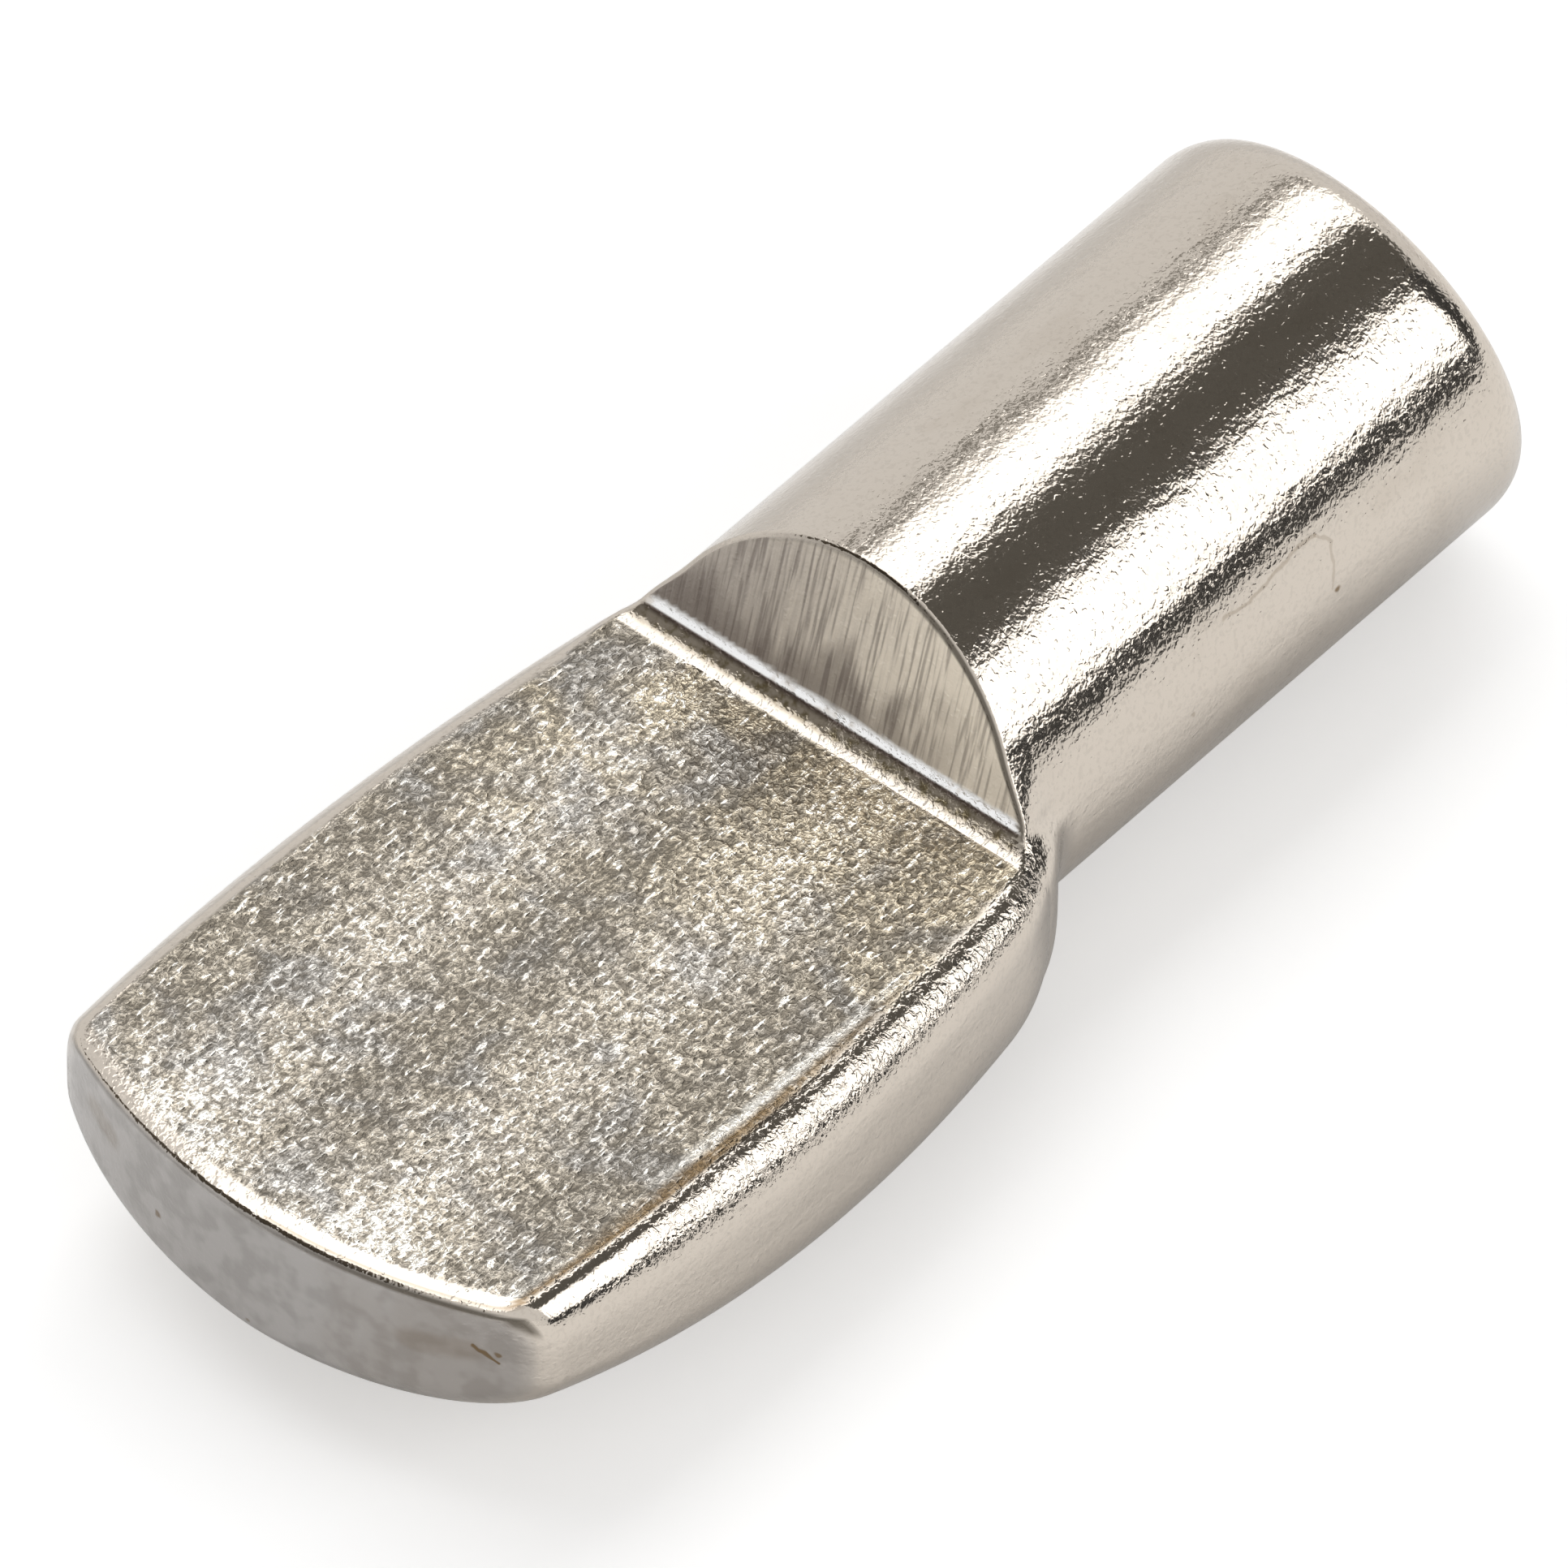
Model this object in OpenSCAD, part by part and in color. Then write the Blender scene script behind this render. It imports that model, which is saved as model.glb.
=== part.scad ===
// Shelf support pin: a round stem that pushes into a hole drilled in a cabinet side, and a flat
// spoon that carries the shelf. It is pressed from one length of round wire, so it is one solid.
// The origin is on the stem's axis, at the seat where the full round of the stem begins.
// +Y runs along the stem to its free end, +Z is up, square to the flat, and X is across the flat.

/* [Stem] */
// Diameter of the stem, which fills a drilled hole of the same size
stem_d = 5; // [4.5:0.05:5.5]
// Length of the stem from its seat to the middle of its cropped end
stem_length = 7.9; // [5:0.05:12]
// Slant of the cropped end away from square, in degrees: the stem is longest underneath
end_slant = 9; // [0:0.5:12]
// How far the rounding of the cropped end reaches back along the stem
end_round = 0.5; // [0.2:0.05:1]
// How far the same rounding draws in from the stem's wall
end_tuck = 0.25; // [0.1:0.05:0.5]
// How far the round wire draws in behind the seat, where the press pulls on it
root_draw = 0.03; // [0.01:0.01:0.1]

/* [Flat] */
// Height of the flat above the stem's axis
flat_height = 0.48; // [0.2:0.02:0.8]
// Length of the flat from the foot of the shoulder to the middle of the tip
flat_length = 9; // [7:0.1:12]
// How far the flat stands out past the stem on each side at the shoulder
neck_overhang = 0.25; // [0.15:0.01:0.5]
// Width of the flat half way along
mid_width = 6.26; // [5.8:0.02:6.8]
// Width of the flat at the tip
tip_width = 5.94; // [5:0.02:6.4]
// Radius of the tip, seen from above
tip_radius = 7; // [5:0.1:20]

/* [Shoulder] */
// Lean of the shoulder's face away from square, in degrees
shoulder_lean = 16.5; // [8:0.5:30]
// Radius of the fillet at the foot of the shoulder
foot_fillet = 0.3; // [0.1:0.02:0.5]
// Length over which the neck flares from the stem to the full spoon
flare_length = 1.3; // [0.6:0.05:1.8]

/* [Sides and belly] */
// Swell of the side past the edge of the flat at the neck
neck_swell = 0.3; // [0.1:0.02:0.4]
// Swell of the side past the edge of the flat half way along
mid_swell = 0.42; // [0.2:0.02:0.8]
// Swell of the side past the edge of the flat at the tip
tip_swell = 0.28; // [0.1:0.02:0.7]
// Drop from the flat to the widest line of the sides at the neck
neck_drop = 0.75; // [0.5:0.05:1]
// Drop from the flat to the widest line of the sides half way along
mid_drop = 1.3; // [0.9:0.05:1.5]
// Drop from the flat to the widest line of the sides at the tip
tip_drop = 0.85; // [0.6:0.05:1]
// How soon the sides turn upright below the flat
side_power = 3.7; // [2:0.1:6]
// How far the belly hangs below the stem at the neck
belly_drop = 0.1; // [0.02:0.01:0.2]
// Thickness of the spoon at the tip
tip_thickness = 1.74; // [1.5:0.02:2.2]
// How late the belly starts to rise towards the tip
belly_power = 4.2; // [2:0.1:6]
// Squareness of the belly's section at the neck
neck_squareness = 3.1; // [2:0.1:4]
// Squareness of the belly's section at the tip
tip_squareness = 2; // [1.6:0.1:3]

/* [Hidden] */

stem_r = stem_d / 2;
end_slope = tan(end_slant);
wall_end = stem_length - stem_r * end_slope - end_round; // the wall is round all the way to here
crop_r = stem_r - 0.002;       // the cropped end's wall is a hair inside the stem's
crop_sink = 0.3;               // the cropped end starts this far inside the stem
root_r = stem_r - 0.2;         // the flare starts this far out, inside the stem
root_length = 0.6;             // the stem runs on this far into the spoon
tip_spare = 0.6;               // the blank runs this far past the tip before the tip is cut
cut_spare = 1;                 // cutters reach this far past what they cut
foot_y = -(stem_r - flat_height) * tan(shoulder_lean);
tip_y = foot_y - flat_length;
neck_half = stem_r + neck_overhang;

flare_rings = 10;              // rings along the flare, the plain spoon and one side's section
spoon_rings = 26;
side_steps = 6;
side_crowding = 1.5;           // the side's points crowd together where it turns most
belly_steps = 16;
half_step = 0.5;
crop_steps = 4;                // rings of the cropped end's rounding, and points on each
crop_facets = 96;
round_facets = 128;

// Quadratic through a value at each end and one half way
function through(a, m, b, s) =
    a * (1 - s) * (1 - 2 * s) + 4 * m * s * (1 - s) + b * s * (2 * s - 1);

// Share of the flat's length from the foot (0) to the tip (1)
function share(y) = max(0, (foot_y - y) / flat_length);

// The flare is a quarter ellipse: 0 at the root inside the stem, 1 where the full spoon begins
function flare(y) =
    y <= -flare_length ? 1 : sqrt(max(0, 1 - pow((y + flare_length) / flare_length, 2)));

function flat_half(s) = through(neck_half, mid_width / 2, tip_width / 2, s);
function swell(s) = through(neck_swell, mid_swell, tip_swell, s);
function widest_z(s) = flat_height - through(neck_drop, mid_drop, tip_drop, s);
function belly(s) =
    stem_r + belly_drop - (stem_r + belly_drop - tip_thickness + flat_height) * pow(s, belly_power);
function squareness(s) = neck_squareness + (tip_squareness - neck_squareness) * s;

// One side of a section, from the edge of the flat down to the keel: a power curve swells out
// to the widest line, at height mid, and a superellipse carries on under the belly. It stops half
// a step short of the middle, which leaves a narrow level land for the pin to lie on
function side(wide, out, mid, depth, n) = concat(
    [for (i = [0 : side_steps - 1]) let (u = pow(i / side_steps, side_crowding))
        [wide - out * pow(1 - u, side_power), flat_height + (mid - flat_height) * u]],
    [for (i = [0 : belly_steps]) let (a = 90 * i / (belly_steps + half_step))
        [wide * pow(cos(a), 2 / n), mid - (depth + mid) * pow(sin(a), 2 / n)]]);

// The closed section at a place along the spoon, in 3-D
function section(y) =
    let (s = share(y), f = flare(y),
         wide = root_r + (flat_half(s) + swell(s) - root_r) * f,
         depth = root_r + (belly(s) - root_r) * f,
         right = side(wide, swell(s) * f, widest_z(s), depth, squareness(s)),
         last = len(right) - 1)
    concat([for (p = right) [p[0], y, p[1]]],
           [for (i = [0 : last]) [-right[last - i][0], y, right[last - i][1]]]);

// A skin over rings of equally many points, with a fan from a middle point over each end
module loft(rings, middles) {
    count = len(rings[0]);
    total = count * len(rings);
    walls = [for (i = [0 : len(rings) - 2], j = [0 : count - 1])
        let (k = (j + 1) % count, a = i * count + j, b = i * count + k)
        each [[a, b, a + count], [b, b + count, a + count]]];
    first_fan = [for (j = [0 : count - 1]) [total, (j + 1) % count, j]];
    last_fan = [for (j = [0 : count - 1]) [total + 1, total - count + j, total - count + (j + 1) % count]];
    polyhedron(concat([for (ring = rings, p = ring) p], middles), concat(walls, first_fan, last_fan),
               convexity = 4);
}

// The spoon before its tip is cut: rings crowd together where the flare turns fastest
module spoon_blank() {
    flare_y = [for (i = [0 : flare_rings - 1]) -flare_length * (1 - cos(90 * i / flare_rings))];
    spoon_y = [for (i = [0 : spoon_rings])
        -flare_length + (tip_y - tip_spare + flare_length) * i / spoon_rings];
    y = concat(flare_y, spoon_y);
    loft([for (place = y) section(place)],
         [for (end = [y[0], y[len(y) - 1]]) [0, end, widest_z(share(end))]]);
}

// Round blade that leaves the tip as an arc
module tip_arc() {
    translate([0, tip_y + tip_radius, -stem_d])
        cylinder(r = tip_radius, h = 2 * stem_d, $fn = 2 * round_facets);
}

module spoon() {
    reach = tip_width + stem_d;
    intersection() {
        spoon_blank();
        union() {
            tip_arc();
            translate([-reach / 2, tip_y + tip_radius, -stem_d])
                cube([reach, abs(tip_y) + tip_radius, 2 * stem_d]);
        }
    }
}

// The wire that stays round: it runs straight from the seat to the cropped end, and draws in a
// little behind the seat, where it runs on into the spoon
module stem() {
    root_y = foot_y - root_length;
    rotate([-90, 0, 0])
        rotate_extrude($fn = round_facets)
            polygon([[0, root_y], [stem_r - root_draw, root_y], [stem_r, 0], [stem_r, wall_end],
                     [0, wall_end]]);
}

// A ring of the cropped end: round about the stem's axis, and slanted as the face is
function crop_ring(r, back) =
    [for (i = [0 : crop_facets - 1]) let (a = 360 * i / crop_facets)
        [r * cos(a), stem_length - back - end_slope * r * sin(a), r * sin(a)]];

// The free end, cropped at a slant, with an elliptical rounding round its face
module cropped_end() {
    start = wall_end - crop_sink;
    level = [for (p = crop_ring(crop_r, 0)) [p[0], start, p[2]]];
    rounding = [for (k = [0 : crop_steps]) let (w = 90 * k / crop_steps)
        crop_ring(crop_r - end_tuck * (1 - cos(w)), end_round * (1 - sin(w)))];
    loft(concat([level], rounding), [[0, start, 0], [0, stem_length, 0]]);
}

// What the press leaves open over the flat: level over the spoon, leaning up the shoulder, with
// a fillet along the foot
module pressed_space() {
    half_corner = (90 + shoulder_lean) / 2;
    tangent = foot_fillet / tan(half_corner);
    rise = stem_d;
    reach = mid_width + stem_d;
    rotate([90, 0, 90])
        linear_extrude(height = reach, center = true)
            translate([foot_y, flat_height])
                difference() {
                    polygon([[-flat_length - cut_spare, 0], [0, 0],
                             [rise * tan(shoulder_lean), rise], [-flat_length - cut_spare, rise]]);
                    difference() {
                        polygon([[-tangent, 0], [0, 0],
                                 [tangent * sin(shoulder_lean), tangent * cos(shoulder_lean)],
                                 [-tangent, foot_fillet]]);
                        translate([-tangent, foot_fillet])
                            circle(foot_fillet, $fn = round_facets);
                    }
                }
}

module support_pin() {
    color([0.76, 0.74, 0.7])
        difference() {
            union() {
                stem();
                cropped_end();
                spoon();
            }
            pressed_space();
        }
}

support_pin();
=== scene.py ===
from math import atan2, cos, pi, radians, sin, tan

import bpy
import numpy as np
from mathutils import Matrix, Vector


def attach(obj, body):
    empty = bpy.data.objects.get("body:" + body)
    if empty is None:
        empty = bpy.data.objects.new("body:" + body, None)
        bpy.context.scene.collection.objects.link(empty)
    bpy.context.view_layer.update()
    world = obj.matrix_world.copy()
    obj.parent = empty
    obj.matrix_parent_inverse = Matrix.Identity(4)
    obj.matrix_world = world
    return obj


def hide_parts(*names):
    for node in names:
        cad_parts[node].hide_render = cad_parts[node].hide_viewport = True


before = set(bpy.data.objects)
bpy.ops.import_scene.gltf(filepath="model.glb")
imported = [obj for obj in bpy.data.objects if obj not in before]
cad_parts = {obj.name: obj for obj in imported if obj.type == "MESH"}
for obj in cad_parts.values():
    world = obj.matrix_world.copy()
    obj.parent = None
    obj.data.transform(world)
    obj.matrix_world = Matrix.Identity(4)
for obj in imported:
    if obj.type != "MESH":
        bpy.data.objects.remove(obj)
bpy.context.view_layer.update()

millimetre = 0.001

# the pin's own sizes, in millimetres unless a note says otherwise
pin = {
    "stemRadius": 2.5,
    "stemEnd": 7.89,                    # where the cropped end crosses the axis
    "endSlope": (0.03, 0.158),          # the crop slants across and down: the stem is longest underneath
    "endRound": (0.25, 0.5),            # its rounding, in from the wall and back along the stem
    "rootEnd": (1.6, 0.3),              # the round wire stops this far behind the seat, rounded by this much
    "footY": -0.597,                    # foot of the shoulder
    "flatZ": 0.48,
    "shoulderLean": 16.5,               # degrees off square
    "footFillet": 0.42,
    "flatLength": 9.0,
    "halfWidths": (2.74, 3.12, 2.93),   # of the flat at the neck, half way and at the tip
    "swells": (0.28, 0.4, 0.22),        # of the sides past the flat's edge
    "drops": (0.75, 1.3, 0.85),         # from the flat down to the widest line
    "sidePower": 5.0,
    "bellyDepths": (2.574, 1.37),       # below the axis, at the neck and the tip
    "bellyPower": 4.2,
    "squareness": (3.1, 1.65),          # of the belly's section, at the neck and the tip
    "pastTip": 1.07,                    # the section goes on changing to this share of the flat's length
    "tipRadius": 6.95,
    "flareLengths": (1.0, 1.3),         # of the neck, on its far and near sides
    "flareAcross": 1.5,                 # it goes from one to the other this far either side of the axis
    "flareDepth": 0.75,
    "neckRound": 0.25,
    "neckSink": 0.3,                    # under the neck the wire sinks away by this
    "neckSinkBack": (0, 1.3),           # between these places behind the seat
    "neckSinkDown": (-0.45, 0.75),      # and these depths below the axis
    "earSwell": 0.2,                    # how far the stem widens beside the foot of the shoulder
    "earHeights": (0.45, 1.3),          # it is full below the first of these and gone above the second
    "earRise": (-0.8, 0.3),             # it comes in between these heights
    "earBack": (-0.15, 0.6),            # and between these places behind the seat
    "pressSpare": 0.6,                  # metal above the flat that the press takes away
    "pressSpareEnd": (-0.05, -0.4),     # it runs out towards the shoulder between these, on Y from the foot
    "edgeRound": 0.055,
    "tipEdgeRound": 0.07,
    "tipEdgeReach": (0.7, 0.1),         # which the edge's rounding grows to between these, from the tip
    "tipRoll": (0.32, 0.6),             # the flat rolls off this far from the tip, at this radius
    "tipCornerRound": 0.22,
    "spoonOffset": 0.09,                # the press left the spoon a little off the stem's line: this far
    "spoonYaw": 0.012,                  # at the seat, with this slope and this bend towards the tip
    "spoonBend": 0.0015,
}


def smoothStep(a, b, x):
    t = np.clip((x - a) / (b - a), 0, 1)
    return t * t * (3 - 2 * t)


def through(values, s):
    # quadratic through a value at each end and one half way
    a, m, b = values
    return a * (1 - s) * (1 - 2 * s) + 4 * m * s * (1 - s) + b * s * (2 * s - 1)


def roundMax(a, b, r):
    # what lies inside both, with the edge between them rounded to radius r
    corner = np.hypot(np.maximum(r + a, 0), np.maximum(r + b, 0))
    return np.minimum(-r, np.maximum(a, b)) + corner


def roundMin(a, b, r):
    return -roundMax(-a, -b, r)


def spoonCentre(y):
    back = np.minimum(y, 0)
    return pin["spoonOffset"] + pin["spoonYaw"] * back - pin["spoonBend"] * back ** 2


def endPlane(x, z):
    # Y of the cropped face, which would run on past the wire
    across, down = pin["endSlope"]
    return pin["stemEnd"] - across * x - down * z


def stemField(x, y, z):
    # distance from a round wire; under the neck it sinks away, so that it never shows through the spoon
    sink = pin["neckSink"] * smoothStep(*pin["neckSinkBack"], -y) * smoothStep(*pin["neckSinkDown"], -z)
    low, high = pin["earHeights"]
    beside = smoothStep(*pin["earRise"], z) * smoothStep(-high, -low, -z)
    sink = sink - pin["earSwell"] * smoothStep(*pin["earBack"], -y) * beside
    inward, back = pin["endRound"]
    # the rounded end is a quarter ellipse: 1 on it, in shares of its two half axes
    a = np.maximum((np.hypot(x, z) + sink - pin["stemRadius"]) / inward + 1, 0)
    b = np.maximum((y - endPlane(x, z)) / back + 1, 0)
    q = np.maximum(np.hypot(a, b), 1e-6)
    steep = np.maximum(np.hypot(a / inward, b / back) / q, 1)
    rootEnd, rootRound = pin["rootEnd"]
    return roundMax((q - 1) / steep, -rootEnd - y, rootRound)


def spoonField(x, y, z):
    # signed distance, near enough, from a section that is a power curve down to its widest line
    # and a superellipse under it, each divided by the steepness of its own formula
    s = np.clip((pin["footY"] - y) / pin["flatLength"], 0, pin["pastTip"])
    swell = through(pin["swells"], s)
    wide = through(pin["halfWidths"], s) + swell
    drop = through(pin["drops"], s)
    power = pin["sidePower"]
    high, low = pin["bellyDepths"]
    depth = high - (high - low) * s ** pin["bellyPower"]
    neckN, tipN = pin["squareness"]
    n = neckN + (tipN - neckN) * s
    across = np.abs(x - spoonCentre(y))
    down = (pin["flatZ"] - z) / drop
    left = np.clip(1 - down, 0, 1.6)      # 1 at the flat, and held back over it, where it would run away
    slope = swell * power / drop * left ** (power - 1)
    side = (across - wide + swell * left ** power) / np.hypot(1, slope)
    tall = depth + pin["flatZ"] - drop
    u = np.maximum(across / wide, 1e-6)
    v = np.maximum((pin["flatZ"] - drop - z) / tall, 1e-6)
    q = (u ** n + v ** n) ** (1 / n)
    steep = np.hypot((u / q) ** (n - 1) / wide, (v / q) ** (n - 1) / tall)
    belly = (q - 1) / steep
    section = np.where(down < 1, side, belly)
    farFlare, nearFlare = pin["flareLengths"]
    toNear = smoothStep(-pin["flareAcross"], pin["flareAcross"], x)
    flare = y * pin["flareDepth"] / (farFlare + (nearFlare - farFlare) * toNear)
    # past the foot the ears beside the stem are as low as the flat
    top = z - pin["flatZ"] - pin["pressSpare"] * smoothStep(*pin["pressSpareEnd"], y - pin["footY"])
    return roundMax(roundMax(section, flare, pin["flareDepth"]), top, pin["edgeRound"])


def tipField(x, y):
    # outside of the round blade that cut the tip
    middle = pin["footY"] - pin["flatLength"] + pin["tipRadius"]
    arc = np.hypot(x - spoonCentre(y), y - middle) - pin["tipRadius"]
    return np.where(y < middle, arc, -pin["tipRadius"])


def pressField(x, y, z):
    # negative where the press left metal: under the flat or behind the shoulder, with a true fillet
    lean, r = radians(pin["shoulderLean"]), pin["footFillet"]
    width, radius = pin["tipRoll"]
    roll = np.maximum(width + tipField(x, y), 0) ** 2 / (2 * radius)
    a = z - pin["flatZ"] + roll
    b = (z - pin["flatZ"]) * sin(lean) - (y - pin["footY"]) * cos(lean)
    reach = r / tan((radians(90) + lean) / 2)
    cy, cz = pin["footY"] - reach, pin["flatZ"] + r
    along = (y - cy) * sin(lean) + (z - cz) * cos(lean)
    hollow = r - np.hypot(y - cy, z - cz)
    return np.where((y > cy) & (along < 0), hollow, np.minimum(a, b))


def blankField(x, y, z):
    # stem and spoon run together at the neck, and the blade cuts the tip
    metal = roundMin(stemField(x, y, z), spoonField(x, y, z), pin["neckRound"])
    return roundMax(metal, tipField(x, y), pin["tipCornerRound"])


def pinField(x, y, z):
    # the whole pin: the blank, with the press's space over the flat taken from it
    metal = blankField(x, y, z)
    tipY = pin["footY"] - pin["flatLength"]
    start, full = pin["tipEdgeReach"]
    nearTip = smoothStep(tipY + start, tipY + full, y)
    edge = pin["edgeRound"] + (pin["tipEdgeRound"] - pin["edgeRound"]) * nearTip
    return roundMax(metal, pressField(x, y, z), edge)


# the mesh's rings and lines: how many, and how strongly they crowd at their first and last ends
grid = {
    "topLines": (44, 0.5, 5),           # lines from the middle of the flat to its edge
    "sideLines": (76, 4, 0),            # lines from the edge round to the keel
    "tipFaceRings": (16, 0, 5),
    "spoonRings": (104, 30, 4),
    "shoulderRings": (46, 5, 7),
    "stemRings": (84, 12, 8),
    "endRimRings": 14,
    "endFaceRings": (12, 4, 0),
    "crowdFade": 14,                    # how quickly the crowding wears off
    "tipZ": -0.4,                       # rays are cast from this height at the tip
    "neckZ": -0.6,                      # and from this one at the neck, in millimetres
    "rayReach": 5.0,
    "cornerShare": 0.32,                # of the tip's corner rounding: the spoon's first ring is this far in
    "beforeFoot": 0.3,                  # the shoulder's rings start this far before the foot
    "approachPart": 6,                  # the first of so many parts of their run ends at the foot
    "climbPower": 1.6,                  # they crowd low on the face
    "pastSeat": 0.12,                   # and end this far past the seat
    "earShare": 0.8,                    # of the ears' swell, which the ends of the foot stand out by
    "sideSpread": 0.2,                  # radians over which they leave the face's edge for the side
    "stemEdge": 88,                     # degrees from straight up that the edge's line has at the free end
    "neckEnd": 0.5,                     # the stem is plainly round from here on
}


def crowded(count, low, high):
    # 0 to 1 in count steps, which are shorter towards the ends: low and high say by how much
    t = (np.arange(count) + 0.5) / count
    fade = grid["crowdFade"]
    step = 1 / (1 + low * np.exp(-t * fade) + high * np.exp(-(1 - t) * fade))
    return np.concatenate([[0], np.cumsum(step) / step.sum()])


def castOut(x0, y, z0, theta, field=pinField):
    # radius at which the metal ends, along rays square to Y from a point inside it
    low, high = np.zeros_like(theta), np.full_like(theta, grid["rayReach"])
    for _ in range(32):      # each turn halves what is still unsure
        middle = (low + high) / 2
        out = field(x0 + middle * np.sin(theta), y, z0 + middle * np.cos(theta)) > 0
        high = np.where(out, middle, high)
        low = np.where(out, low, middle)
    return (low + high) / 2


def steepness(x, y, z):
    # the field's slopes along X, Y and Z, which point straight out of the surface
    d = 1e-4      # millimetres either way
    return ((pinField(x + d, y, z) - pinField(x - d, y, z)) / (2 * d),
            (pinField(x, y + d, z) - pinField(x, y - d, z)) / (2 * d),
            (pinField(x, y, z + d) - pinField(x, y, z - d)) / (2 * d))


def settle(x, y, z):
    # slides points straight onto the surface: each step divides the field by its steepness
    longest = 0.1      # millimetres in one step
    for _ in range(8):
        f = pinField(x, y, z)
        gx, gy, gz = steepness(x, y, z)
        step = np.clip(f / np.maximum(gx * gx + gy * gy + gz * gz, 1e-3), -longest, longest)
        x, y, z = x - step * gx, y - step * gy, z - step * gz
    return x, y, z


def lineAngles(edge):
    # each line's angle from straight up: 0 to the edge on the flat, then from the edge to half a turn
    top, side = crowded(*grid["topLines"]), crowded(*grid["sideLines"])
    right = np.concatenate([edge * top, edge + (np.pi - edge) * side[1:]], axis=1)
    return np.concatenate([right, -right[:, -2:0:-1]], axis=1)


def flatEdgeAngle(y, z0):
    # the flat's edge, as an angle from straight up about the height z0
    s = np.clip((pin["footY"] - y) / pin["flatLength"], 0, 1)
    return np.arctan2(through(pin["halfWidths"], s), pin["flatZ"] - z0)


def ringPoints(x0, y, z0, theta, r):
    return list(zip(x0 + r * np.sin(theta), y, z0 + r * np.cos(theta)))


def bladeY(x):
    # Y of the tip's face, which lies on the blade's arc
    tipY, blade = pin["footY"] - pin["flatLength"], pin["tipRadius"]
    return tipY + blade - np.sqrt(blade ** 2 - (x - spoonCentre(tipY)) ** 2)


def tipOutline(x, y, z):
    # edge of the tip's face: the spoon's section where the blade's arc meets it, whatever y is
    y = bladeY(x)
    return np.maximum(spoonField(x, y, z), pressField(x, y, z))


def tipFaceRings():
    # from the middle of the tip's face out to its edge
    tipY, tipZ = pin["footY"] - pin["flatLength"], grid["tipZ"]
    xc = spoonCentre(tipY)
    theta = lineAngles(np.array([[flatEdgeAngle(tipY, tipZ)]]))
    rim = castOut(xc, 0 * theta, tipZ, theta, tipOutline)
    rings = []
    for share in crowded(*grid["tipFaceRings"])[1:]:
        x, z = xc + share * rim * np.sin(theta), tipZ + share * rim * np.cos(theta)
        rings.append((x, bladeY(x), z))
    return rings, bladeY(xc + rim * np.sin(theta))


def spoonRings(rimY):
    # from the blade's arc to a little before the foot
    tipZ, neckZ = grid["tipZ"], grid["neckZ"]
    v = crowded(*grid["spoonRings"])[1:, None]
    z0 = tipZ + (neckZ - tipZ) * smoothStep(0, 1, v)
    startY = rimY + grid["cornerShare"] * pin["tipCornerRound"]
    y = startY + (pin["footY"] - grid["beforeFoot"] - startY) * v
    middleY = y.mean(axis=1, keepdims=True)
    theta = lineAngles(flatEdgeAngle(middleY, z0))
    x0 = spoonCentre(middleY)
    r = castOut(x0 + 0 * theta, y, z0 + 0 * theta, theta)
    return ringPoints(x0, y, z0, theta, r)


def faceEdgeAngle():
    # the ends of the foot, as an angle from straight up, on the stem as it widens there
    radius = pin["stemRadius"] + pin["earSwell"] * grid["earShare"]
    return atan2(np.sqrt(radius ** 2 - pin["flatZ"] ** 2), pin["flatZ"] - grid["neckZ"])


def shoulderRings():
    # they fan out from the ends of the foot, up the shoulder's face and round the sides
    footY, flatZ, neckZ = pin["footY"], pin["flatZ"], grid["neckZ"]
    beforeFoot, pastSeat, part = footY - grid["beforeFoot"], grid["pastSeat"], grid["approachPart"]
    w = crowded(*grid["shoulderRings"])[1:, None]
    x0 = spoonCentre(beforeFoot) * (1 - w)
    flatEdge, faceEdge = flatEdgeAngle(beforeFoot, neckZ), faceEdgeAngle()
    theta = lineAngles(flatEdge + (faceEdge - flatEdge) * w)
    spread = smoothStep(faceEdge, faceEdge + grid["sideSpread"], np.abs(theta))

    def climb(z):
        # Y of the shoulder's face at a height
        return footY + tan(radians(pin["shoulderLean"])) * np.maximum(z - flatZ, 0)

    first = castOut(spoonCentre(beforeFoot) + 0 * theta, beforeFoot + 0 * theta, neckZ, theta)
    last = np.full_like(theta, pin["stemRadius"])
    for _ in range(6):       # walks along the arc where the shoulder's face meets the round
        arcY = climb(neckZ + last * np.cos(theta)) * (1 - spread) + pastSeat * spread
        last = castOut(0 * theta, arcY, neckZ, theta, blankField)
    climbed = np.maximum(w * part - 1, 0) / (part - 1)
    height = neckZ + (first + (last - first) * climbed ** grid["climbPower"]) * np.cos(theta)
    walk = beforeFoot + (pastSeat - beforeFoot) * w
    approach = np.minimum(beforeFoot + (footY - beforeFoot) * w * part, footY)
    y = np.where(w < 1 / part, approach, climb(height)) * (1 - spread) + walk * spread
    r = castOut(x0 + 0 * theta, y, neckZ, theta)
    return ringPoints(x0, y, neckZ, theta, r), y[-1]


def stemRings(startY):
    # from the shoulder to where the free end begins to round
    v = crowded(*grid["stemRings"])[1:, None]
    z0 = grid["neckZ"] * (1 - smoothStep(0, 1, v))
    faceEdge = faceEdgeAngle()
    theta = lineAngles(faceEdge + (radians(grid["stemEdge"]) - faceEdge) * smoothStep(0, 1, v))
    r = -z0 * np.cos(theta) + np.sqrt(pin["stemRadius"] ** 2 - (z0 * np.sin(theta)) ** 2)
    endY = endPlane(r * np.sin(theta), z0 + r * np.cos(theta)) - pin["endRound"][1]
    y = startY + (endY - startY) * v
    r = np.where(y < grid["neckEnd"], castOut(0 * theta, y, z0 + 0 * theta, theta), r)
    return ringPoints(0, y, z0, theta, r), theta[-1]


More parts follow.
